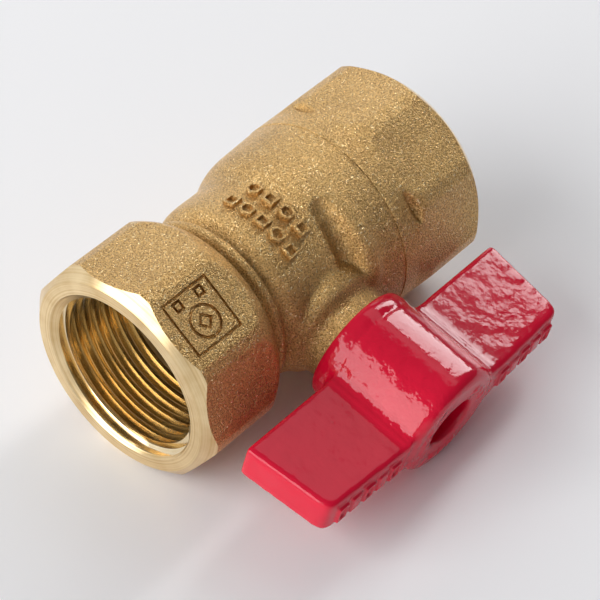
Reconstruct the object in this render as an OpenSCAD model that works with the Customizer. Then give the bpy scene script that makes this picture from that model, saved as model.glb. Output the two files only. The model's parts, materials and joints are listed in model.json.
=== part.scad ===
// Two-piece forged brass ball valve for a 3/4 inch gas or water line, with a red tee handle.
//
// The valve is drawn about its own three axes and then laid down as a whole:
// x is the flow axis, z the stem axis with +z out through the handle, and y squares them up.
// lay_down() turns it about the flow axis until one edge of the two wrench octagons and the
// rim of the handle's hub stand on z = 0. The handle is at rest in the open position.

/* [Ends] */
// Width across the flats of the wrench octagon on each end
flats_w = 32; // [31.6:0.2:32.6]
// Length from end face to end face
valve_len = 59; // [58.6:0.2:60]
// Radius that the octagons' corners are rounded to
corner_r = 16.95; // [16.8:0.05:17.1]
// Outer radius of the flat ring on each end face
face_r = 15.2; // [15:0.1:15.4]

/* [Pipe thread] */
// Radius of the wall that carries the 3/4-14 pipe thread, at its crests
thread_r = 11.9; // [11.8:0.05:12]
// Depth of the threaded hole from the end face
thread_depth = 14.4; // [14:0.1:14.8]
// Radius of the countersink at the mouth
mouth_r = 13.2; // [13:0.1:13.4]

/* [Body] */
// Radius of the throat between the front octagon and the ball chamber
throat_r = 13.85; // [13.7:0.05:14.1]
// Radius of the ball chamber's outside, where it leaves the throat
chamber_r = 15.7; // [15.6:0.05:15.8]
// Radius of the chamber's outside and of the end cap, at the joint between them
joint_r = 16.1; // [16:0.02:16.12]
// Distance from the stem axis to the joint between the body and the end cap
joint_x = 12.2; // [12:0.1:12.4]
// Radius of the stem boss
boss_r = 7.2; // [7:0.05:7.3]

/* [Ball] */
// Radius of the ball
ball_r = 12; // [11.95:0.05:12.05]
// Radius of the flow way through the body, the ball and the end cap
port_r = 7.6; // [7.4:0.05:7.7]
// Clearance between the ball and each seat, and between the stem and its slot
ball_gap = 0.1; // [0.08:0.02:0.15]

/* [Stem] */
// Radius of the stem
stem_r = 4; // [3.9:0.05:4]
// Running clearance around the stem
stem_gap = 0.05; // [0.03:0.01:0.08]
// Radius of the shoulder that keeps the stem from blowing out
shoulder_r = 5.5; // [5.3:0.1:5.5]
// Half of the stem's width across its two drive flats
drive_half = 3; // [2.8:0.1:3.1]

/* [Handle] */
// Radius of the handle's hub
hub_r = 9.1; // [9:0.05:9.3]
// Distance from the flow axis to the hub's outer face
hub_out = 35.5; // [35.4:0.1:36]
// Length of the handle over its wings, at their inner edges
wing_span = 53; // [50:1:56]
// Thickness of the wings
wing_t = 6.2; // [5.6:0.2:6.4]
// Radius of the recess for the handle screw
recess_r = 3.9; // [3.85:0.05:4.1]

/* [Hidden] */
$fn = 96;
half_len = valve_len / 2;
octagon_r = flats_w / 2 / cos(22.5);
thread_end = half_len - thread_depth;
countersink = mouth_r - thread_r;
chamfer = corner_r - face_r;

// ball chamber, seats and the screwed joint
chamber_bore_r = ball_r + 0.4;
chamber_front_x = -8;
seat_out = 11;
seat_in = 7.8;
seat_r = 10.9;
seat_bore_r = port_r + 0.2;
spigot_r = 13.2;
spigot_x = 5.9;
spigot_gap = 0.3;

// stem, from the ball's slot to the handle
tang_t = 4;
tang_w = 9.6;
tang_z = 9.5;
slot_z = 9.2;
shoulder_z = 12.6;
washer_z = 13.8;
washer_top = 14.35;
pocket_top = 14.4;
pocket_r = shoulder_r + 0.2;
drive_z = 21;
stem_top = 25.4;
groove_r = 2.8;
groove_w = 1.4;
groove_low = 15.1;
groove_high = 17.6;
oring_r = 0.59;
screw_r = 2;
screw_z = 17.4;

// stops: a ridge on the boss and a lug inside the hub, 90 degrees of free turn between them
boss_top = 19.8;
ridge_top = 21.2;
ridge_in = 5.2;
ridge_out = 7;
lug_z = 20.1;
lug_angle = 86;
stop_play = 1.5;
turn = 90;
lug_start = 47;
ridge_start = lug_start + lug_angle + stop_play;
ridge_angle = 360 - lug_angle - turn - 2 * stop_play;

// handle, from the rim round the boss out to the face
rim_z = 17.1;
collar_z = 20.2;
cavity_r = 7.8;
cavity_top = 21.6;
web_top = 25.6;
rim_chamfer = 0.5;
face_chamfer = 0.8;
wing_out = 35.2;
wing_tip_out = 34.4;
wing_tip_in = 1.4;
wing_corner = 1.5;
root_x = 8;
root_fillet = 1.3;
lock_washer_t = 0.8;
lock_washer_r = 3.5;
head_r = 3.5;
head_t = 2.6;
drive_slot = 1.1;
drive_slot_len = 4.2;
drive_slot_depth = 1.5;

// how the valve lies: half the angle that the rounding takes off each octagon corner, the tilt
// of the stem below the horizontal, and the shifts that stand the valve on z = 0, centred on y = 0
corner_half = 22.5 - acos(flats_w / 2 / corner_r);
lay = atan2(corner_r * cos(corner_half) - hub_r, hub_out - face_chamfer - corner_r * sin(corner_half));
back_reach = corner_r * cos(lay - corner_half);
front_reach = hub_out * cos(lay) + (hub_r - face_chamfer) * sin(lay);

// Lays the upright valve on its side.
module lay_down() {
    translate([0, (front_reach - back_reach) / 2, back_reach])
        rotate([90 + lay, 0, 0])
            children();
}

// Solid turned about the flow axis from [radius, x] points.
module turned(points) {
    rotate([0, 90, 0])
        rotate_extrude()
            polygon(points);
}

// Solid turned about the stem axis from [radius, z] points.
module stem_turned(points) {
    rotate_extrude()
        polygon(points);
}

// Cylinder along the flow axis.
module flow_cylinder(r, x0, x1) {
    translate([x0, 0, 0])
        rotate([0, 90, 0])
            cylinder(r = r, h = x1 - x0);
}

// Cylinder along the stem axis.
module stem_cylinder(r, z0, z1) {
    translate([0, 0, z0])
        cylinder(r = r, h = z1 - z0);
}

// Octagonal prism along the flow axis, with a corner towards the stem.
module octagon(x0, x1) {
    translate([x0, 0, 0])
        rotate([0, 90, 0])
            cylinder(r = octagon_r, h = x1 - x0, $fn = 8);
}

// Part of a ring about the stem axis, from angle a0 through a degrees.
module ring_sector(r0, r1, z0, z1, a0, a) {
    translate([0, 0, z0])
        rotate([0, 0, a0])
            rotate_extrude(angle = a)
                translate([r0, 0])
                    square([r1 - r0, z1 - z0]);
}

// Threaded hole and countersink at the +x end.
module pipe_socket() {
    flow_cylinder(thread_r, thread_end, half_len + 1);
    turned([
        [0, half_len - countersink], [thread_r, half_len - countersink],
        [mouth_r, half_len], [mouth_r, half_len + 1], [0, half_len + 1]
    ]);
    turned([[0, thread_end - 2], [port_r, thread_end - 2], [thread_r, thread_end], [0, thread_end]]);
}

// Round bar with two drive flats, facing +y and -y.
module drive_bar(r, half, z0, z1) {
    intersection() {
        stem_cylinder(r, z0, z1);
        translate([-r - 1, -half, z0])
            cube([2 * r + 2, 2 * half, z1 - z0]);
    }
}

module body() {
    color([0.77, 0.60, 0.32])
        lay_down()
            difference() {
                union() {
                    front_octagon();
                    chamber();
                    boss();
                }
                mirror([1, 0, 0])
                    pipe_socket();
                flow_cylinder(port_r, -half_len, 0);
                flow_cylinder(seat_r, -seat_out, 0);
                flow_cylinder(chamber_bore_r, chamber_front_x, joint_x + 1);
                flow_cylinder(spigot_r, spigot_x - spigot_gap, joint_x + 1);
                stem_cylinder(pocket_r, 8, pocket_top);
                stem_cylinder(stem_r + stem_gap, 8, boss_top + 2);
            }
}

// Wrench octagon on the inlet end, chamfered at the face and rounded off at the neck.
module front_octagon() {
    neck_x = -11.2;
    intersection() {
        octagon(-half_len, neck_x);
        turned([
            [0, -half_len], [face_r, -half_len], [corner_r, -half_len + chamfer],
            [corner_r, -16.4], [16.4, -15.3], [15.7, -14.2], [14.7, -13.1], [13.8, -12.4],
            [12, neck_x], [0, neck_x]
        ]);
    }
}

// Neck with its bead, throat and ball chamber.
module chamber() {
    turned([
        [0, -13], [12.9, -13], [12.9, -11.3], [13.4, -10.7], [13.4, -10.1], [13, -9.5], [13, -9.1],
        [13.6, -8.2], [throat_r, -7.2], [throat_r, -1.2], [14.3, 0.5], [15.1, 2.1],
        [15.5, 3.5], [chamber_r, 5], [joint_r, joint_x], [0, joint_x]
    ]);
}

// Boss for the stem, with a flared foot and the stop ridge on its top.
module boss() {
    foot_r = 9;
    foot_z = 11.6;
    foot_top = 14;
    stem_turned([
        [0, 5], [foot_r, 5], [foot_r, foot_z], [boss_r, foot_top], [boss_r, boss_top], [0, boss_top]
    ]);
    ring_sector(ridge_in, ridge_out, boss_top - 0.5, ridge_top, ridge_start, ridge_angle);
}

module end_cap() {
    color([0.77, 0.60, 0.32])
        lay_down()
            difference() {
                union() {
                    rear_octagon();
                    flow_cylinder(spigot_r, spigot_x, joint_x + 1);
                    flow_cylinder(joint_r, joint_x, 18.4);
                }
                pipe_socket();
                flow_cylinder(port_r, 0, half_len);
                flow_cylinder(seat_r, 0, seat_out);
            }
}

// Wrench octagon on the outlet end, whose corners fade into the round of the joint.
module rear_octagon() {
    intersection() {
        octagon(joint_x, half_len);
        turned([
            [0, joint_x], [joint_r, joint_x], [joint_r, 15.6], [corner_r, 20.4],
            [corner_r, half_len - chamfer], [face_r, half_len], [0, half_len]
        ]);
    }
}

module seat_front() {
    color([0.93, 0.93, 0.90])
        lay_down()
            mirror([1, 0, 0])
                seat();
}

module seat_rear() {
    color([0.93, 0.93, 0.90])
        lay_down()
            seat();
}

// Seat ring on the +x side, hollowed to the ball.
module seat() {
    difference() {
        flow_cylinder(seat_r, seat_in, seat_out);
        flow_cylinder(seat_bore_r, seat_in - 1, seat_out + 1);
        sphere(r = ball_r + ball_gap);
    }
}

module ball() {
    color([0.80, 0.81, 0.82])
        lay_down()
            difference() {
                sphere(r = ball_r);
                flow_cylinder(port_r, -ball_r - 1, ball_r + 1);
                translate([-tang_t / 2 - ball_gap, -ball_r - 1, slot_z])
                    cube([tang_t + 2 * ball_gap, 2 * ball_r + 2, ball_r]);
            }
}

module stem() {
    color([0.80, 0.66, 0.38])
        lay_down()
            difference() {
                union() {
                    intersection() {
                        stem_cylinder(shoulder_r, tang_z, shoulder_z);
                        translate([-tang_t / 2, -tang_w / 2, tang_z])
                            cube([tang_t, tang_w, shoulder_z - tang_z]);
                    }
                    stem_cylinder(shoulder_r, shoulder_z, washer_z);
                    stem_cylinder(stem_r, washer_z, drive_z);
                    drive_bar(stem_r, drive_half, drive_z, stem_top);
                }
                oring_groove(groove_low);
                oring_groove(groove_high);
                stem_cylinder(screw_r, screw_z, stem_top + 1);
            }
}

module oring_groove(z) {
    difference() {
        stem_cylinder(stem_r + 1, z, z + groove_w);
        stem_cylinder(groove_r, z - 1, z + groove_w + 1);
    }
}

module thrust_washer() {
    color([0.90, 0.90, 0.86])
        lay_down()
            difference() {
                stem_cylinder(shoulder_r, washer_z, washer_top);
                stem_cylinder(stem_r + stem_gap, washer_z - 1, washer_top + 1);
            }
}

module stem_oring_lower() {
    color([0.07, 0.07, 0.07])
        lay_down()
            oring(groove_low);
}

module stem_oring_upper() {
    color([0.07, 0.07, 0.07])
        lay_down()
            oring(groove_high);
}

// Ring of round section in the stem groove that starts at height z.
module oring(z) {
    translate([0, 0, z + groove_w / 2])
        rotate_extrude()
            translate([groove_r + oring_r + 0.02, 0])
                circle(r = oring_r, $fn = 32);
}

module handle() {
    color([0.75, 0.05, 0.12])
        lay_down()
            difference() {
                union() {
                    hub();
                    wings();
                    stop_lug();
                }
                drive_bar(stem_r + stem_gap, drive_half + stem_gap, cavity_top - 1, web_top + 1);
                stem_cylinder(recess_r, web_top, hub_out + 1);
            }
}

// Hub over the boss: a collar, the barrel between the wings and a hollow from below.
module hub() {
    difference() {
        stem_turned([
            [0, rim_z], [hub_r - rim_chamfer, rim_z], [hub_r, rim_z + rim_chamfer],
            [hub_r, hub_out - face_chamfer], [hub_r - face_chamfer, hub_out], [0, hub_out]
        ]);
        stem_cylinder(cavity_r, rim_z - 1, cavity_top);
    }
}

// Both wings as one flat plate, cut round the hub, with sloped roots for strength.
module wings() {
    half = wing_span / 2;
    difference() {
        union() {
            rotate([90, 0, 0])
                linear_extrude(height = wing_t, center = true)
                    polygon([
                        [-half, collar_z + wing_corner], [-half + wing_corner, collar_z],
                        [half - wing_corner, collar_z], [half, collar_z + wing_corner],
                        [half - wing_tip_in, wing_tip_out - wing_corner],
                        [half - wing_tip_in - wing_corner, wing_tip_out],
                        [root_x, wing_out], [-root_x, wing_out],
                        [-half + wing_tip_in + wing_corner, wing_tip_out],
                        [-half + wing_tip_in, wing_tip_out - wing_corner]
                    ]);
            translate([0, 0, collar_z])
                linear_extrude(height = wing_out - collar_z)
                    root_outline();
        }
        stem_cylinder(hub_r - 1, collar_z - 1, hub_out);
    }
}

// Outline of the sloped roots where the wings grow out of the hub.
module root_outline() {
    low = wing_t / 2;
    polygon([
        [-root_x - 2 * root_fillet, -low], [-root_x, -low - root_fillet],
        [root_x, -low - root_fillet], [root_x + 2 * root_fillet, -low],
        [root_x + 2 * root_fillet, low], [root_x, low + root_fillet],
        [-root_x, low + root_fillet], [-root_x - 2 * root_fillet, low]
    ]);
}

// Lug inside the hub that meets the body's ridge at both ends of the turn.
module stop_lug() {
    ring_sector(ridge_in, cavity_r + 0.5, lug_z, cavity_top + 0.5, lug_start, lug_angle);
}

// Split spring washer under the handle screw.
module lock_washer() {
    split = 0.7;
    color([0.72, 0.72, 0.74])
        lay_down()
            difference() {
                stem_cylinder(lock_washer_r, web_top, web_top + lock_washer_t);
                stem_cylinder(screw_r + 0.1, web_top - 1, web_top + lock_washer_t + 1);
                translate([0, -split / 2, web_top - 1])
                    cube([lock_washer_r + 1, split, lock_washer_t + 2]);
            }
}

// Pan-head screw with a cross recess.
module handle_screw() {
    seat_z = web_top + lock_washer_t;
    color([0.70, 0.71, 0.73])
        lay_down()
            difference() {
                union() {
                    stem_turned([
                        [0, seat_z], [head_r, seat_z], [head_r, seat_z + head_t - 0.8],
                        [head_r - 0.8, seat_z + head_t], [0, seat_z + head_t]
                    ]);
                    stem_cylinder(screw_r, screw_z + 0.4, seat_z);
                }
                for (a = [0, 90])
                    rotate([0, 0, a])
                        translate([-drive_slot_len / 2, -drive_slot / 2, seat_z + head_t - drive_slot_depth])
                            cube([drive_slot_len, drive_slot, drive_slot_depth + 1]);
            }
}

body();
end_cap();
seat_front();
seat_rear();
ball();
stem();
thrust_washer();
stem_oring_lower();
stem_oring_upper();
handle();
lock_washer();
handle_screw();
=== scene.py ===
import json
import math

import bpy
from mathutils import Matrix, Vector


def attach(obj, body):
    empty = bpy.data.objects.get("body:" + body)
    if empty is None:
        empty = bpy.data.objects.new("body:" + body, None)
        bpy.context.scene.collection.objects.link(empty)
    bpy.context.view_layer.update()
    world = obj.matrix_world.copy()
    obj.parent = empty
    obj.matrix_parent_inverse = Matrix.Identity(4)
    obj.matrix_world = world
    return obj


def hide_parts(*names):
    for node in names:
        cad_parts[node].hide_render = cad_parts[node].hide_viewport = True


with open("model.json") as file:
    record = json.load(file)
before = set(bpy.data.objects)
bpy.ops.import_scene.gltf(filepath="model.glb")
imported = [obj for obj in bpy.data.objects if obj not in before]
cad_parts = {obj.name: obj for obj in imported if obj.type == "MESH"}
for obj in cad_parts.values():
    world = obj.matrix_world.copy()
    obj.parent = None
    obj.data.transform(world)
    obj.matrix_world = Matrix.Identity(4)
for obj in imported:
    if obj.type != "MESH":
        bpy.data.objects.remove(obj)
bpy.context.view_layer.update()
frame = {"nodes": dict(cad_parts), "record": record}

# ---------------------------------------------------------------------------------------------
# Valve body: one hot brass forging with the inlet's wrench octagon, a beaded neck, the throat,
# the ball chamber and the stem boss. It is shot-blasted all over, then its face, its bores and
# its taper pipe thread are cut bright on a lathe.
half_len = 0.0295
across_flats = 0.032
corner_r = across_flats / 2 / math.cos(math.radians(22.5))
corner_top = 0.01692  # the die rounds the corners off here
face_r = 0.0152
chamfer = 0.006
flow_r = 0.0076
seat_pocket_r = 0.0109
spigot_r = 0.0132
thread_pitch = 0.001814
thread_depth = 0.00090
thread_turns = 7
thread_start = 0.0286
thread_crest_r = 0.01195
thread_taper = 1 / 32  # fall in radius over length

# Cutting tools reach this far along the pipe and out from it, clear of the metal.
past_end = 0.031
past_side = 0.0212

# Every piece is made upright about the valve's own axes, x along the pipe and z out along the
# stem, and is then laid on its side about the flow axis. The handle's hinge gives the stem's
# direction and the point where it meets the flow axis.
hinge = frame["record"]["behaviour"]["joints"][0]
stem_axis = Vector(hinge["axis"])
lay = math.atan2(-stem_axis.z, -stem_axis.y)
laid_down = Matrix.Translation(Vector(hinge["pos_m"])) @ Matrix.Rotation(math.pi / 2 + lay, 4, "X")


class Wire:
    """A socket in the material being made. Arithmetic on it adds Math nodes."""

    tree = None

    def __init__(self, socket):
        self.socket = socket

    @classmethod
    def material(cls, name):
        finish = bpy.data.materials.new(name)
        finish.use_nodes = True
        cls.tree = finish.node_tree
        cls.tree.nodes.clear()
        return finish

    @classmethod
    def node(cls, kind, settings=None, inputs=None, output=0):
        node = cls.tree.nodes.new(kind)
        for key, value in (settings or {}).items():
            setattr(node, key, value)
        for key, value in (inputs or {}).items():
            if isinstance(value, Wire):
                cls.tree.links.new(value.socket, node.inputs[key])
            else:
                node.inputs[key].default_value = value
        return cls(node.outputs[output]) if node.outputs else None

    def maths(self, operation, other=0.0, flipped=False):
        first, second = (other, self) if flipped else (self, other)
        return Wire.node("ShaderNodeMath", {"operation": operation}, {0: first, 1: second})

    def __add__(self, other):
        return self.maths("ADD", other)

    __radd__ = __add__

    def __mul__(self, other):
        return self.maths("MULTIPLY", other)

    __rmul__ = __mul__

    def __sub__(self, other):
        return self.maths("SUBTRACT", other)

    def __rsub__(self, other):
        return self.maths("SUBTRACT", other, flipped=True)

    def __pow__(self, other):
        return self.maths("POWER", other)

    def between(self, low, high):
        """0 up to low and 1 from high on, with a smooth rise between them."""
        inputs = {"Value": self, "From Min": low, "From Max": high}
        return Wire.node("ShaderNodeMapRange", {"interpolation_type": "SMOOTHSTEP"}, inputs)

    def mix(self, first, second):
        """first where this wire is 0, second where it is 1."""
        inputs = {0: self, 6: first, 7: second}
        return Wire.node("ShaderNodeMix", {"data_type": "RGBA"}, inputs, output=2)


def upright_place():
    """Object coordinates turned back to the upright valve, in metres."""
    back = laid_down.inverted()
    where = Wire.node("ShaderNodeTexCoord", output=3)
    inputs = {"Vector": where, "Location": back.to_translation(), "Rotation": back.to_euler()}
    return Wire.node("ShaderNodeMapping", {"vector_type": "POINT"}, inputs)


def coordinate(where, axis):
    """One part of a place: 0 along the pipe, 1 across it, 2 out along the stem."""
    return Wire.node("ShaderNodeSeparateXYZ", None, {"Vector": where}, output=axis)


def from_flow_axis(where):
    """Distance from the flow axis, in metres."""
    across, out = coordinate(where, 1), coordinate(where, 2)
    return (across * across + out * out) ** 0.5


def noise(where, size, detail=2.0, roughness=0.5):
    inputs = {"Vector": where, "Scale": 1 / size, "Detail": detail, "Roughness": roughness}
    return Wire.node("ShaderNodeTexNoise", None, inputs)


def tool_lines(distance, size, detail=3.0):
    """Noise that changes with one distance only, as the marks of turning do."""
    return noise(Wire.node("ShaderNodeCombineXYZ", None, {0: distance}), size, detail)


def grains(where, size):
    inputs = {"Vector": where, "Scale": 1 / size}
    return Wire.node("ShaderNodeTexVoronoi", {"feature": "F1"}, inputs)


def relief(height, strength, depth):
    inputs = {"Height": height, "Strength": strength, "Distance": depth}
    return Wire.node("ShaderNodeBump", None, inputs)


def surface(inputs):
    shader = Wire.node("ShaderNodeBsdfPrincipled", None, inputs)
    Wire.node("ShaderNodeOutputMaterial", None, {"Surface": shader})


def lathe_turned_brass(name, roughness, line_depth, dull, bright):
    finish = Wire.material(name)
    where = upright_place()
    cloud = noise(where, 0.004, 3.0)
    rings = tool_lines(from_flow_axis(where), 0.00024)
    surface({
        "Base Color": (cloud * 0.4 + rings * 0.6).between(0.3, 0.7).mix(dull, bright),
        "Metallic": 1.0,
        "Roughness": roughness + 0.14 * cloud,
        "Normal": relief(rings, line_depth, 0.00010),
    })
    return finish


pit_brown = (0.20, 0.088, 0.021, 1)
skin_gold = (0.82, 0.525, 0.203, 1)
# A pale gold painted into the base colour as a highlight, for the glints below.
painted_glint_gold = (1.0, 0.79, 0.43, 1)

blasted = Wire.material("shot_blasted_brass")
where = upright_place()
shot = grains(where, 0.00026)
flecks = noise(where, 0.00016, 2.0, 0.6)
patches = noise(where, 0.007, 2.0, 0.5)
tone = (flecks * 0.8 + shot * 0.35 + patches * 0.15).between(0.34, 0.82)
# The glints mask paints bright gold flecks into the base colour: painted highlights standing in for
# the sparkle of the blasted grain under the lamps. The lower roughness on them is real.
glints = noise(where, 0.00030, 1.0).between(0.60, 0.70)
surface({
    "Base Color": glints.mix(tone.mix(pit_brown, skin_gold), painted_glint_gold),
    "Metallic": 1.0,
    "Roughness": 0.24 + 0.14 * patches - 0.08 * glints,
    "Normal": relief(shot * 0.6 + flecks, 1.0, 0.00015),
})
turned_bright = lathe_turned_brass(
    "lathe_turned_brass", roughness=0.24, line_depth=0.8,
    dull=(0.66, 0.44, 0.19, 1), bright=(0.94, 0.75, 0.45, 1)
)
# The tapped thread's colours are a paler copy of the turned brass. They are painted lighter to make
# up for the deep, saturated shade that light takes on bouncing between the thread's flanks: painted
# light on the same brass.
tapped_painted_pale = lathe_turned_brass(
    "tapped_brass", roughness=0.08, line_depth=0.06,
    dull=(0.86, 0.68, 0.40, 1), bright=(0.96, 0.84, 0.60, 1)
)


def select_only(piece):
    bpy.ops.object.select_all(action="DESELECT")
    piece.select_set(True)
    bpy.context.view_layer.objects.active = piece


def edit(piece, mode="VERT"):
    select_only(piece)
    bpy.ops.object.mode_set(mode="EDIT")
    bpy.ops.mesh.select_mode(type=mode)
    bpy.ops.mesh.select_all(action="SELECT")


def close_edit():
    bpy.ops.mesh.select_all(action="SELECT")
    bpy.ops.mesh.normals_make_consistent(inside=False)
    bpy.ops.object.mode_set(mode="OBJECT")


def draw_out(along):
    bpy.ops.mesh.extrude_region_move(TRANSFORM_OT_translate={"value": along})


def turn(name, steps, axis="X", sides=128):
    """Turns a solid about x or z, from one (place, radius) step to the next."""
    about_x = axis == "X"
    along = Vector((1, 0, 0)) if about_x else Vector((0, 0, 1))
    first_place, first_r = steps[0]
    bpy.ops.object.select_all(action="DESELECT")
    bpy.ops.mesh.primitive_circle_add(
        vertices=sides, radius=first_r, fill_type="NGON", location=along * first_place,
        rotation=(0, math.pi / 2, 0) if about_x else (0, 0, 0)
    )
    piece = bpy.context.object
    piece.name = name
    bpy.ops.object.transform_apply(location=True, rotation=True, scale=True)
    edit(piece)
    for (place, r), (next_place, next_r) in zip(steps, steps[1:]):
        draw_out(along * (next_place - place))
        grow = next_r / r
        bpy.ops.transform.resize(
            value=(1, grow, grow) if about_x else (grow, grow, 1),
            center_override=along * next_place
        )
    close_edit()
    return piece


def modify(piece, kind, **settings):
    select_only(piece)
    modifier = piece.modifiers.new(kind.lower(), kind)
    for key, value in settings.items():
        setattr(modifier, key, value)
    bpy.ops.object.modifier_apply(modifier=modifier.name)


def coat(piece, finish):
    piece.data.materials.clear()
    piece.data.materials.append(finish)


def combine(piece, operation, tool, *more, finish=None):
    """Joins a tool to a piece, or cuts it out of it. Several tools are made one first."""
    for other in more:
        combine(tool, "UNION", other)
    if finish:
        coat(tool, finish)
    modify(
        piece, "BOOLEAN", object=tool, operation=operation, solver="MANIFOLD",
        material_mode="TRANSFER"
    )
    bpy.data.objects.remove(tool)


def soften(piece, *added, voxel, passes):
    """Fuses the added shapes with a piece and rounds its edges, as a worn die or enamel does."""
    select_only(piece)
    for shape in added:
        shape.select_set(True)
    if added:
        bpy.ops.object.join()
    modify(piece, "REMESH", mode="VOXEL", voxel_size=voxel)
    modify(piece, "SMOOTH", factor=0.5, iterations=passes)


def put(piece, place):
    select_only(piece)
    piece.matrix_world = place
    bpy.ops.object.transform_apply(location=True, rotation=True, scale=True)
    return piece


def round_pipe(x, r, angle, spin=0.0):
    """A place r out from the flow axis, at an angle from the stem, with z pointing out."""
    return (
        Matrix.Rotation(-math.radians(angle), 4, "X") @ Matrix.Translation((x, 0, r))
        @ Matrix.Rotation(math.radians(spin), 4, "Z")
    )


def die_form(name, place, size):
    """A long rounded lump, for a hollow or a ridge that the die leaves."""
    bpy.ops.object.select_all(action="DESELECT")
    bpy.ops.mesh.primitive_uv_sphere_add(segments=48, ring_count=24, radius=1)
    lump = bpy.context.object
    lump.name = name
    edit(lump)
    bpy.ops.transform.resize(value=size, center_override=(0, 0, 0))
    close_edit()
    return put(lump, place)


def outline_mark(name, sides, r, stroke, height, lengthen=1.0):
    """A plain flat shape, in outline with a stroke or solid with none."""
    bpy.ops.object.select_all(action="DESELECT")
    bpy.ops.mesh.primitive_circle_add(vertices=sides, radius=r, fill_type="NGON")
    mark = bpy.context.object
    mark.name = name
    edit(mark, "FACE")
    bpy.ops.transform.rotate(value=math.pi / sides, orient_axis="Z", center_override=(0, 0, 0))
    bpy.ops.transform.resize(value=(1, lengthen, 1), center_override=(0, 0, 0))
    if stroke:
        bpy.ops.mesh.inset(thickness=stroke)
        bpy.ops.mesh.delete(type="FACE")
        bpy.ops.mesh.select_all(action="SELECT")
    draw_out((0, 0, height))
    close_edit()
    return mark


def thread_coil():
    """What the tap takes away at the inlet: a coil of one tooth, tapering towards the ball."""
    half_width = 0.90 * thread_pitch / 2
    root = 0.06 * thread_pitch
    base = 0.001
    bpy.ops.object.select_all(action="DESELECT")
    bpy.ops.mesh.primitive_plane_add(size=2 * half_width)
    coil = bpy.context.object
    coil.name = "thread_coil"
    edit(coil)
    bpy.ops.mesh.merge(type="CENTER")
    bpy.ops.transform.translate(value=(-thread_start - half_width, 0, thread_crest_r - base))
    for across, out in (
        (0, base), (half_width - root, thread_depth), (2 * root, 0),
        (half_width - root, -thread_depth), (0, -base)
    ):
        draw_out((across, 0, out))
    bpy.ops.mesh.select_all(action="SELECT")
    bpy.ops.mesh.edge_face_add()
    bpy.ops.mesh.delete(type="ONLY_FACE")
    bpy.ops.object.mode_set(mode="OBJECT")
    modify(
        coil, "SCREW", axis="X", screw_offset=thread_pitch, iterations=thread_turns, steps=96,
        render_steps=96, use_merge_vertices=False
    )
    edit(coil, "EDGE")
    bpy.ops.mesh.select_all(action="DESELECT")
    bpy.ops.mesh.select_non_manifold()
    bpy.ops.mesh.fill_holes(sides=0)
    close_edit()
    span = thread_pitch * thread_turns + 2 * half_width
    modify(
        coil, "SIMPLE_DEFORM", deform_method="TAPER", deform_axis="X",
        factor=-span * thread_taper / thread_crest_r
    )
    return coil


def bore_end(piece, side, *more):
    """Taps an end and bores it out to the ball: side is -1 for the inlet, 1 for the outlet."""
    coil = thread_coil()
    if side > 0:
        put(coil, Matrix.Rotation(math.pi, 4, "Z"))
    combine(piece, "DIFFERENCE", coil, finish=tapped_painted_pale)
    bores = [turn(name, sorted((side * x, r) for x, r in steps)) for name, steps in (
        ("countersink", ((past_end, 0.0148), (half_len, 0.0133), (0.0281, 0.0119))),
        ("flow_way", ((past_end, 0.0120), (0.0151, 0.0115), (0.0131, flow_r), (0.0, flow_r))),
        ("seat_pocket", ((0.0110, seat_pocket_r), (0.0, seat_pocket_r)))
    )]
    combine(piece, "DIFFERENCE", *bores, *more, finish=turned_bright)


octagon = turn("body_octagon", [(-past_end, corner_r), (-0.0112, corner_r)], sides=8)
combine(octagon, "INTERSECT", turn("body_outside", [
    (-0.032, corner_top), (-0.0168, corner_top), (-0.0160, 0.01670), (-0.0152, 0.01625),
    (-0.0143, 0.01565), (-0.0132, 0.0147), (-0.0125, 0.0137), (-0.0120, 0.0126), (-0.0115, 0.0118)
]))
neck = turn("beaded_neck", [
    (-0.0145, 0.0119), (-0.0117, 0.0119), (-0.0113, 0.0129), (-0.0109, 0.01335), (-0.0103, 0.01340),
    (-0.0099, 0.0130), (-0.0095, 0.0118), (-0.0080, 0.0118)
])
body = turn("valve_body_detail", [
    (-0.0094, 0.0117), (-0.0088, 0.0127), (-0.0081, 0.0134), (-0.0074, 0.01375), (-0.0060, 0.01388),
    (-0.0012, 0.01388), (0.0005, 0.0143), (0.0021, 0.0151), (0.0035, 0.0155), (0.0050, 0.0157),
    (0.0135, 0.0161)
])
valleys = []
crests = []
for angle, depth in ((33, 0.0025), (42, 0.0026), (51, 0.0025), (60, 0.0022), (69, 0.0017)):
    for side in (1, -1):
        place = round_pipe(0.0030, 0.0163, side * angle)
        valleys.append(die_form("valley", place, (0.0022, 0.0036, depth + 0.0003)))
        place = round_pipe(0.0065, 0.0151, side * angle)
        crests.append(die_form("crest", place, (0.0017, 0.0034, depth * 0.5)))
combine(body, "DIFFERENCE", *valleys)
boss = turn("stem_boss", [
    (0.004, 0.0094), (0.0124, 0.0092), (0.0134, 0.0087), (0.0142, 0.0077), (0.0149, 0.0072),
    (0.0198, 0.0072)
], axis="Z", sides=96)
soften(body, boss, *crests, voxel=0.00034, passes=5)
soften(body, octagon, neck, voxel=0.00028, passes=1)
coat(body, blasted)

# Two raised rows of plain squares and hexagons run round the throat.
mark_r = {4: 0.00142, 6: 0.00128}
marks = []
for x, r, row in (
    (-0.0006, 0.01378, ((6, 108.0), (4, 96.0), (6, 84.0), (4, 72.0))),
    (-0.0041, 0.01348, ((4, 112.0), (6, 100.5), (4, 89.0), (6, 77.5), (4, 66.0)))
):
    for sides, angle in row:
        mark = outline_mark("throat_mark", sides, mark_r[sides], stroke=0.00042, height=0.0009)
        modify(mark, "BEVEL", width=0.00012, segments=2)
        marks.append(put(mark, round_pipe(x, r, angle)))
combine(body, "UNION", *marks, finish=blasted)

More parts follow.
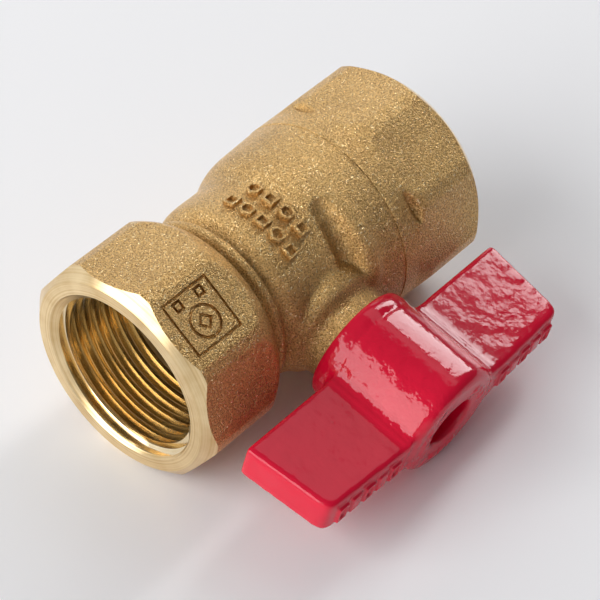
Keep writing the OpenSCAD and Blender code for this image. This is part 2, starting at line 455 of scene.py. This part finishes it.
# A panel is cut into the flat beside the stem: a square frame, a ring, a diamond, two squares.
panel_x = -0.0226
panel = []
for name, sides, r, stroke, x, out, angle, spin in (
    ("panel_frame", 4, 0.0060, 0.00042, panel_x, 0.01562, 68, 0),
    ("panel_ring", 40, 0.00250, 0.00046, panel_x, 0.01564, 65, 0),
    ("panel_diamond", 4, 0.00135, 0.00042, panel_x, 0.01564, 65, 45),
    ("panel_square", 4, 0.0011, 0.00040, panel_x + 0.0020, 0.01562, 78, 0),
    ("panel_square", 4, 0.0011, 0.00040, panel_x - 0.0020, 0.01562, 78, 0)
):
    mark = outline_mark(name, sides, r, stroke, height=0.002)
    panel.append(put(mark, round_pipe(x, out, angle, spin)))
combine(body, "DIFFERENCE", *panel, finish=blasted)

combine(body, "INTERSECT", turn("body_face", [
    (-half_len, face_r), (-half_len + chamfer, face_r + chamfer), (0.0200, past_side)
]), finish=turned_bright)
combine(body, "INTERSECT", turn("body_joint", [
    (-past_end, past_side), (0.0117, past_side), (0.0118, 0.0164), (0.0122, 0.0159)
]), finish=blasted)
bore_end(
    body, -1,
    turn("ball_chamber", [
        (-0.008, 0.0124), (0.0056, 0.0124), (0.0056, spigot_r), (0.013, spigot_r)
    ]),
    turn("stem_hole", [
        (0.008, 0.0057), (0.0144, 0.0057), (0.0144, 0.00405), (0.022, 0.00405)
    ], axis="Z")
)


def lay_down(piece, smooth_to=32):
    select_only(piece)
    bpy.ops.object.shade_smooth_by_angle(angle=math.radians(smooth_to))
    put(piece, laid_down)


lay_down(body)
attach(body, "valve_body")
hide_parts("body")

# ---------------------------------------------------------------------------------------------
# End cap: a second forging, screwed into the ball chamber to hold the seats and the ball. Its
# octagon fades into the round where it meets the body, and its outer end is threaded as well.
octagon = turn("cap_octagon", [(0.0135, corner_r), (past_end, corner_r)], sides=8)
combine(octagon, "INTERSECT", turn("cap_outside", [
    (0.0110, 0.01605), (0.0152, 0.01605), (0.0165, 0.01645), (0.0180, corner_top),
    (0.032, corner_top)
]))
cap = turn("end_cap_detail", [(0.0110, 0.0161), (0.0184, 0.0161)])
soften(cap, octagon, voxel=0.00026, passes=1)
combine(
    cap, "DIFFERENCE",
    die_form("dimple_stem_side", round_pipe(0.0161, 0.0172, 45, 7), (0.0008, 0.0037, 0.0019)),
    die_form("dimple_top", round_pipe(0.0163, 0.0172, 128, -7), (0.0007, 0.0030, 0.0017)),
    die_form("dimple_far_side", round_pipe(0.0161, 0.0172, -45), (0.0009, 0.0040, 0.0018))
)
soften(cap, voxel=0.00024, passes=1)
coat(cap, blasted)
combine(cap, "INTERSECT", turn("cap_joint", [
    (0.0122, 0.0159), (0.0124, 0.0163), (0.0125, past_side), (past_end, past_side)
]), finish=blasted)
combine(cap, "INTERSECT", turn("cap_face", [
    (0.0100, past_side), (half_len - chamfer, face_r + chamfer), (half_len, face_r)
]), finish=turned_bright)
spigot = turn("cap_spigot", [(0.0059, spigot_r), (0.0130, spigot_r)])
combine(cap, "UNION", spigot, finish=turned_bright)
bore_end(cap, 1)
lay_down(cap)
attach(cap, "valve_body")
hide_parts("end_cap")

# ---------------------------------------------------------------------------------------------
# Seats and thrust washer: turned rings of PTFE, waxy white. One seat each side of the ball, and
# the washer between the stem's shoulder and the body.
ptfe = Wire.material("ptfe_rings")
where = upright_place()
lines = tool_lines(from_flow_axis(where), 0.0002, 2.0)
clouding = noise(where, 0.002, 3.0)
surface({
    "Base Color": clouding.mix((0.80, 0.80, 0.77, 1), (0.90, 0.90, 0.88, 1)),
    "Roughness": 0.35 + 0.15 * clouding,
    "Subsurface Weight": 0.2,
    "Subsurface Radius": (0.001, 0.001, 0.001),
    "Normal": relief(lines, 0.3, 0.00003),
})
for name in ("seat_front", "seat_rear", "thrust_washer"):
    frame["nodes"][name].material_slots[0].material = ptfe

# ---------------------------------------------------------------------------------------------
# Ball: brass, ground round and chrome plated, with a port through it and a slot for the stem.
# Grinding leaves faint lines about the port's axis.
chrome = Wire.material("chromed_ball")
where = upright_place()
haze = noise(where, 0.005, 3.0)
rubbing = tool_lines(from_flow_axis(where), 0.0003)
surface({
    "Base Color": haze.mix((0.62, 0.63, 0.65, 1), (0.78, 0.79, 0.80, 1)),
    "Metallic": 1.0,
    "Roughness": 0.08 + 0.12 * (haze * rubbing),
    "Normal": relief(rubbing, 0.15, 0.00003),
})
frame["nodes"]["ball"].material_slots[0].material = chrome

# ---------------------------------------------------------------------------------------------
# Stem: turned from free-cutting brass bar, put in from inside, with a tang for the ball's slot,
# two grooves for seals and two flats that drive the handle.
stem_brass = Wire.material("stem_brass")
where = upright_place()
feed = tool_lines(coordinate(where, 2), 0.00012, 2.0)
stain = noise(where, 0.0015, 3.0)
surface({
    "Base Color": stain.mix((0.74, 0.53, 0.25, 1), (0.90, 0.72, 0.42, 1)),
    "Metallic": 1.0,
    "Roughness": 0.20 + 0.18 * stain,
    "Normal": relief(feed, 0.4, 0.00004),
})
frame["nodes"]["stem"].material_slots[0].material = stem_brass

# ---------------------------------------------------------------------------------------------
# O-rings: two rings moulded in nitrile rubber, dull black with a film of grease. They sit in the
# stem's grooves and seal it in the body.
rubber = Wire.material("nitrile_rubber")
where = upright_place()
film = noise(where, 0.0012, 3.0)
surface({
    "Base Color": film.mix((0.012, 0.012, 0.013, 1), (0.030, 0.030, 0.032, 1)),
    "Roughness": 0.35 + 0.35 * film,
    "Normal": relief(film, 0.3, 0.00008),
})
for name in ("stem_oring_lower", "stem_oring_upper"):
    frame["nodes"][name].material_slots[0].material = rubber

# ---------------------------------------------------------------------------------------------
# Screw and split washer: cold-formed steel, zinc plated. They hold the handle on the stem, at
# the bottom of the handle's recess.
zinc = Wire.material("zinc_plated_steel")
where = upright_place()
spangle = grains(where, 0.0006)
dulling = noise(where, 0.0018, 3.0)
surface({
    "Base Color": dulling.mix((0.50, 0.51, 0.53, 1), (0.70, 0.71, 0.72, 1)),
    "Metallic": 1.0,
    "Roughness": 0.24 + 0.18 * dulling,
    "Normal": relief(spangle, 0.12, 0.00006),
})
for name in ("lock_washer", "handle_screw"):
    frame["nodes"][name].material_slots[0].material = zinc

# ---------------------------------------------------------------------------------------------
# Handle: a die casting dipped in thick red enamel, with a hub over the boss, two wings along the
# pipe and a deep recess for its screw. The enamel rounds every edge and runs into the corners.
hub_r = 0.0090
wing_end = 0.0275
wing_half = 0.0031
root_r = 0.0020
step = 0.00025

enamel = Wire.material("red_enamel_coat")
where = upright_place()
ripple = noise(where, 0.0026, 3.0, 0.5)
thickness = noise(where, 0.009, 2.0)
inlet_side, across = coordinate(where, 0), coordinate(where, 1)
from_stem = (inlet_side * inlet_side + across * across) ** 0.5
sagged = (inlet_side * -1).between(0.001, 0.005) * (0.0104 - from_stem).between(0.0, 0.001)
ripple = ripple * (1.0 + 2.2 * sagged)
surface({
    "Base Color": thickness.mix((0.62, 0.003, 0.027, 1), (0.77, 0.006, 0.041, 1)),
    "Roughness": 0.06 + 0.10 * thickness,
    "Specular IOR Level": 0.5,
    "Normal": relief(ripple, 1.0, 0.00012),
})

# A quarter of the handle seen from above: wing, rounded root and hub, by their angles of turn.
root_y = wing_half + step + root_r
reach = math.acos(root_y / (hub_r + root_r))
root_x = (hub_r + root_r) * math.sin(reach)
quarter = [
    (wing_end, 0), (wing_end, wing_half), (root_x + 0.0004, wing_half),
    (root_x + 0.0003, wing_half + step)
]
for a in (reach * k / 8 for k in range(9)):
    quarter.append((root_x - root_r * math.sin(a), root_y - root_r * math.cos(a)))
for a in (reach * (1 - k / 16) for k in range(1, 17)):
    quarter.append((hub_r * math.sin(a), hub_r * math.cos(a)))
half = quarter + [(-x, y) for x, y in reversed(quarter[:-1])]
outline = half + [(x, -y) for x, y in reversed(half[1:-1])]


def prism(name, outline, along):
    """A solid with a closed outline of points for its base, drawn out along a vector."""
    bpy.ops.object.select_all(action="DESELECT")
    bpy.ops.mesh.primitive_plane_add(size=0.001)
    piece = bpy.context.object
    piece.name = name
    edit(piece)
    bpy.ops.mesh.merge(type="CENTER")
    bpy.ops.transform.translate(value=outline[0])
    for start, end in zip(outline, outline[1:]):
        draw_out([b - a for a, b in zip(start, end)])
    bpy.ops.mesh.select_all(action="SELECT")
    bpy.ops.mesh.edge_face_add()
    draw_out(along)
    close_edit()
    return piece


handle = prism("tee_handle", [(x, y, 0.0190) for x, y in outline], (0, 0, 0.0180))
side_view = [
    (0.0265, 0.0202), (0.0252, 0.0327), (0.0250, 0.0334), (0.0246, 0.0340), (0.0240, 0.0343),
    (0.0233, 0.03442), (0.0088, 0.03515), (0.0070, 0.0346), (0.0, 0.0346)
]
side_view += [(-x, z) for x, z in reversed(side_view[:-1])]
wing_sides = prism("wing_sides", [(x, -0.012, z) for x, z in side_view], (0, 0.024, 0))
combine(handle, "INTERSECT", wing_sides)
combine(handle, "UNION", turn("hub", [
    (0.0171, 0.0086), (0.0175, 0.0089), (0.0184, 0.00908), (0.0196, 0.00908), (0.0201, 0.0086),
    (0.0206, 0.00895), (0.0344, 0.00895), (0.0351, 0.0086), (0.0355, 0.0082)
], axis="Z"))
combine(
    handle, "DIFFERENCE",
    turn("hub_cavity", [(0.0160, 0.0078), (0.0216, 0.0078)], axis="Z"),
    turn("drive_hole", [(0.0200, 0.0040), (0.0300, 0.0040)], axis="Z"),
    turn("screw_recess", [(0.0256, 0.0039), (0.037, 0.0039)], axis="Z")
)
soften(handle, voxel=0.00026, passes=28)
crease = turn("collar_crease", [(0.02005, 0.0120), (0.02035, 0.0120)], axis="Z")
crease_floor = turn("crease_floor", [(0.0190, 0.00875), (0.0210, 0.00875)], axis="Z")
combine(crease, "DIFFERENCE", crease_floor)
combine(handle, "DIFFERENCE", crease)

# Raised on the enamel: bars and frames along the wings' outer edges, a bead of enamel down each
# root, and small bars round the hub's face.
frame_line = 0.00045
top_start = 0.0088
top_height = 0.0344
top_slope = 0.046
marks = []
for x, stroke in (
    (0.0118, frame_line), (0.0144, 0), (0.0170, frame_line), (0.0196, 0), (0.0222, frame_line)
):
    for side in (1, -1):
        mark = outline_mark("wing_mark", 4, 0.0014, stroke, height=0.0012, lengthen=1.6)
        place = Matrix.Translation((side * x, 0, top_height - (x - top_start) * top_slope))
        marks.append(put(mark, place))
bead_in, bead_out = root_x - 0.0001, root_x + 0.0004
bead = (
    (bead_in, wing_half - 0.0006), (bead_out, wing_half - 0.0006),
    (bead_out, wing_half + 0.0001), (bead_in, wing_half + 0.0004)
)
for side in (1, -1):
    for face in (1, -1):
        corners = [(side * x, face * y, 0.0206) for x, y in bead]
        marks.append(prism("root_bead", corners, (0, 0, 0.0138)))
for angle in (15, 33, 51, 150, 168, 186, 250, 268, 286):
    mark = outline_mark("hub_mark", 4, 0.0007, stroke=0, height=0.0010, lengthen=1.3)
    place = Matrix.Rotation(math.radians(angle), 4, "Z") @ Matrix.Translation((0.0061, 0, 0.0348))
    marks.append(put(mark, place))
soften(handle, *marks, voxel=0.00022, passes=3)
coat(handle, enamel)
lay_down(handle, 60)
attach(handle, "handle_and_stem")
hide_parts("handle")

# ---------------------------------------------------------------------------------------------
# Floor, light and camera: a pale board, a narrow softbox behind to the right, a broad one to the
# left, a backdrop's glow behind and a little spill from overhead. The room itself is pale low
# down, and darker overhead and to the right.
bpy.ops.object.select_all(action="DESELECT")
bpy.ops.mesh.primitive_plane_add(size=1.4)
floor = bpy.context.object
floor.name = "floor"
board = Wire.material("pale_board")
surface({"Base Color": (0.955, 0.955, 0.965, 1), "Roughness": 0.55})
floor.data.materials.append(board)

pale_wall = (0.82, 0.82, 0.84, 1)
grey_ceiling = (0.20, 0.20, 0.21, 1)
dark_corner = (0.09, 0.09, 0.10, 1)

world = bpy.data.worlds.new("studio")
bpy.context.scene.world = world
world.use_nodes = True
world.node_tree.nodes.clear()
Wire.tree = world.node_tree
direction = Wire.node("ShaderNodeTexCoord")
east, north, height = (coordinate(direction, axis) for axis in range(3))
walls = height.between(0.0, 0.5).mix(pale_wall, grey_ceiling)
walls = (east * 0.71 - north * 0.71).between(-0.1, 0.6).mix(walls, dark_corner)
glow = Wire.node("ShaderNodeBackground", None, {"Color": walls})
Wire.node("ShaderNodeOutputWorld", None, {"Surface": glow})


def softbox(name, azimuth, elevation, width, height, power, distance=0.8):
    """A lamp aimed at the valve. Azimuth runs round from the outlet's side, in degrees."""
    a, e = math.radians(azimuth), math.radians(elevation)
    place = Vector((math.cos(e) * math.cos(a), math.cos(e) * math.sin(a), math.sin(e))) * distance
    bpy.ops.object.light_add(type="AREA", location=place)
    lamp = bpy.context.object
    lamp.name = name
    lamp.data.shape = "RECTANGLE"
    lamp.data.size = width
    lamp.data.size_y = height
    lamp.data.energy = power
    lamp.rotation_euler = (-place).to_track_quat("-Z", "Y").to_euler()


softbox("softbox_right", azimuth=8, elevation=33, width=0.15, height=0.60, power=2.0)
softbox("softbox_left", azimuth=162, elevation=29, width=0.85, height=0.68, power=6.5)
softbox("backdrop_glow", azimuth=58, elevation=26, width=0.80, height=0.40, power=1.4)
softbox("ceiling_spill", azimuth=6, elevation=64, width=0.50, height=0.20, power=0.26)

bpy.ops.object.camera_add(location=(-0.18888, -0.15836, 0.26355))
camera = bpy.context.object
ahead = Vector((0.536637, 0.458572, -0.708331))
right = Vector((0.658607, -0.752394, 0.011867))
above = right.cross(ahead)
camera.rotation_euler = Matrix((right, above, -ahead)).transposed().to_euler()
camera.data.sensor_width = 36
camera.data.lens = 149.54
camera.data.clip_start = 0.01
bpy.context.scene.camera = camera
bpy.context.scene.view_settings.view_transform = "Standard"
